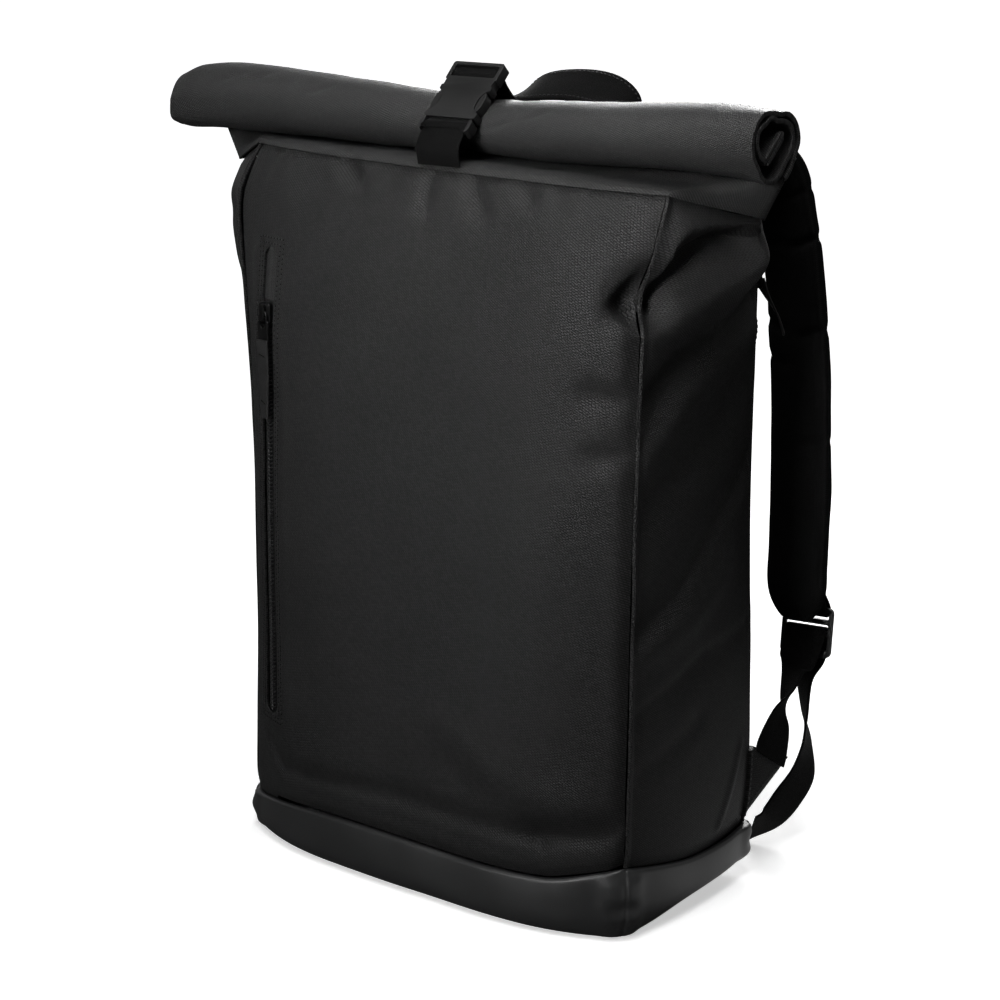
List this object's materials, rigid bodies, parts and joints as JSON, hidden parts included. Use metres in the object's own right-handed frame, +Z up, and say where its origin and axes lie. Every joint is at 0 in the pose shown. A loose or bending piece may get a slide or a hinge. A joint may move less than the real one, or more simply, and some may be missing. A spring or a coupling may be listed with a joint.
{
  "type": "roll-top backpack",
  "caption": "Upright roll-top backpack with a coated base, zipped front pocket, buckled roll closure, grab handle and padded shoulder straps.",
  "frame": {"origin": "on the ground under the middle of the base", "axes": "+X to the right seen from the front, +Y to the back, +Z up; the front faces -Y"},
  "size_m": [0.407, 0.2284, 0.4635],
  "materials": {
    "cloth": "matt black twill",
    "coated": "smooth coated cloth with a soft sheen",
    "padded": "matt black over foam",
    "webbing": "black woven webbing",
    "plastic": "satin black",
    "zip": "black chain on woven tape",
    "metal": "black plated"
  },
  "bodies": {
    "root": {"front_panel": "cloth", "side_panel_right": "cloth", "side_panel_left": "cloth", "back_panel": "padded", "base_boot": "coated", "roll_top": "cloth", "collar_front": "cloth", "collar_back": "cloth", "front_zip": "zip", "zip_garage": "cloth", "zip_slider": "metal", "zip_puller": "metal", "zip_ribbon": "webbing", "side_zip": "zip", "side_zip_slider": "metal", "side_zip_puller": "metal", "side_zip_ribbon": "webbing", "buckle_plug": "plastic", "buckle_socket": "plastic", "strap_lower": "webbing", "strap_upper": "webbing", "grab_handle": "webbing", "shoulder_strap_right": "padded", "shoulder_strap_left": "padded", "strap_tab_right": "webbing", "strap_tab_left": "webbing", "adjuster_right": "plastic", "adjuster_left": "plastic", "webbing_right": "webbing", "webbing_left": "webbing", "wing_right": "cloth", "wing_left": "cloth"}
  },
  "joints": []
}
